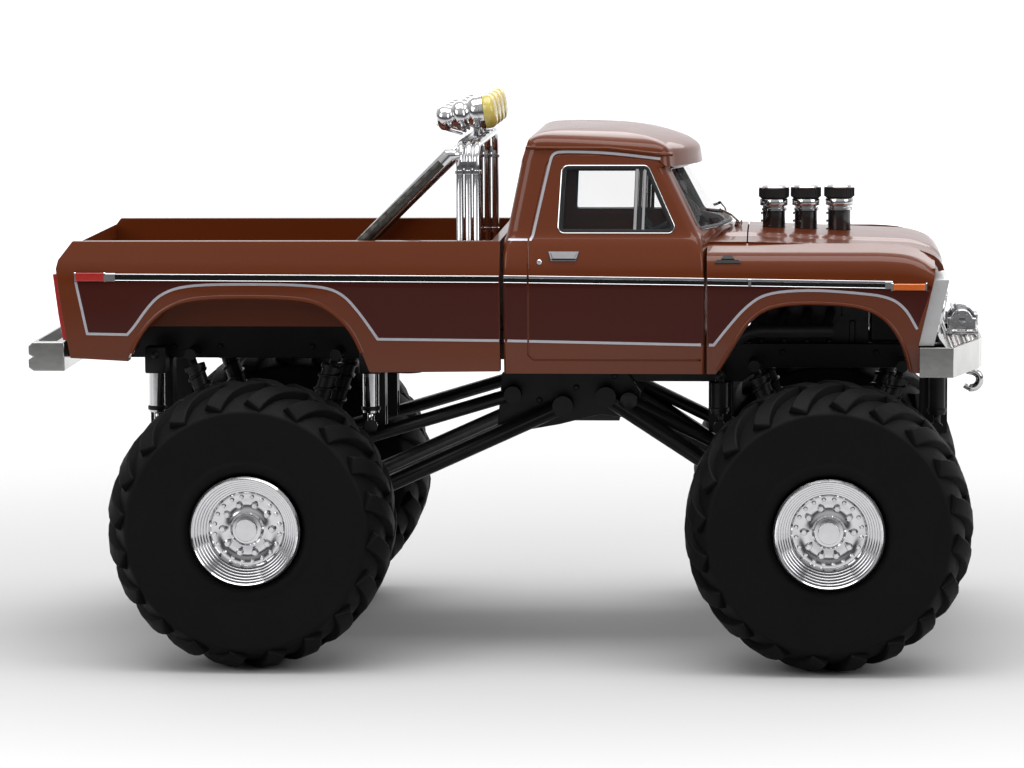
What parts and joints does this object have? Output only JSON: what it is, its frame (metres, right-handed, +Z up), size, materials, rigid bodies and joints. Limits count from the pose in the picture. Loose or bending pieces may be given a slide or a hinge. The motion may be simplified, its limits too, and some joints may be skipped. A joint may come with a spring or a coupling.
{
  "type": "monster truck model",
  "caption": "Lifted pickup truck model with oversized treaded tyres, roll bar with a row of lamps, intake stacks through the hood, bumpers with a winch, and four turning wheels.",
  "frame": {"origin": "on the floor, at the centre of the model's footprint box", "axes": "+X towards the front bumper, +Y to the truck's left, +Z up"},
  "size_m": [0.1326, 0.0764, 0.0773],
  "materials": {
    "body_paint": "gloss copper brown",
    "chrome": "vacuum-plated chrome",
    "chassis_black": "semi-gloss black",
    "engine_grey": "satin dark grey",
    "interior_black": "matt black",
    "clear_glass": "clear",
    "lamp_lens": "clear fluted",
    "amber_lens": "translucent amber",
    "red_lens": "translucent red",
    "yellow_cover": "gloss yellow",
    "silver_paint": "satin silver",
    "tyre_rubber": "semi-matt black"
  },
  "bodies": {
    "chassis": {"cab_shell": "body_paint", "front_fenders": "body_paint", "hood": "body_paint", "cargo_bed": "body_paint", "tailgate": "body_paint", "windshield": "clear_glass", "side_windows": "clear_glass", "rear_window": "clear_glass", "grille": "silver_paint", "headlights": "lamp_lens", "front_marker_lamps": "amber_lens", "tail_lamps": "red_lens", "cab_floor": "interior_black", "bench_seat": "interior_black", "dashboard": "interior_black", "steering_wheel": "interior_black", "front_bumper": "chrome", "winch": "engine_grey", "tow_hook": "chrome", "rear_bumper": "chrome", "roll_bar": "chrome", "lamp_pods": "chrome", "lamp_covers": "yellow_cover", "engine_block": "engine_grey", "exhaust_headers": "chrome", "intake_stacks": "chrome", "air_filters": "chassis_black", "frame_rails": "chassis_black", "crossmembers": "chassis_black", "transfer_case": "engine_grey", "bar_brackets": "chassis_black", "leaf_springs": "chassis_black", "spring_hangers": "chassis_black", "shock_absorbers": "chrome", "coil_dampers": "chassis_black", "traction_bars": "chassis_black", "driveshafts": "chrome", "front_axle": "chassis_black", "rear_axle": "chassis_black", "axle_pins": "chrome", "tie_rod": "chrome"},
    "front_left_wheel": {"front_left_tyre": "tyre_rubber", "front_left_rim": "chrome"},
    "front_right_wheel": {"front_right_tyre": "tyre_rubber", "front_right_rim": "chrome"},
    "rear_left_wheel": {"rear_left_tyre": "tyre_rubber", "rear_left_rim": "chrome"},
    "rear_right_wheel": {"rear_right_tyre": "tyre_rubber", "rear_right_rim": "chrome"}
  },
  "joints": [
    {"name": "front_left_wheel_turn", "type": "hinge", "parent": "chassis", "child": "front_left_wheel", "pos_m": [0.044, 0.0287, 0.0195], "axis": [0, 1, 0], "continuous": true},
    {"name": "front_right_wheel_turn", "type": "hinge", "parent": "chassis", "child": "front_right_wheel", "pos_m": [0.044, -0.0287, 0.0195], "axis": [0, 1, 0], "continuous": true},
    {"name": "rear_left_wheel_turn", "type": "hinge", "parent": "chassis", "child": "rear_left_wheel", "pos_m": [-0.0346, 0.0287, 0.0195], "axis": [0, 1, 0], "continuous": true},
    {"name": "rear_right_wheel_turn", "type": "hinge", "parent": "chassis", "child": "rear_right_wheel", "pos_m": [-0.0346, -0.0287, 0.0195], "axis": [0, 1, 0], "continuous": true}
  ]
}
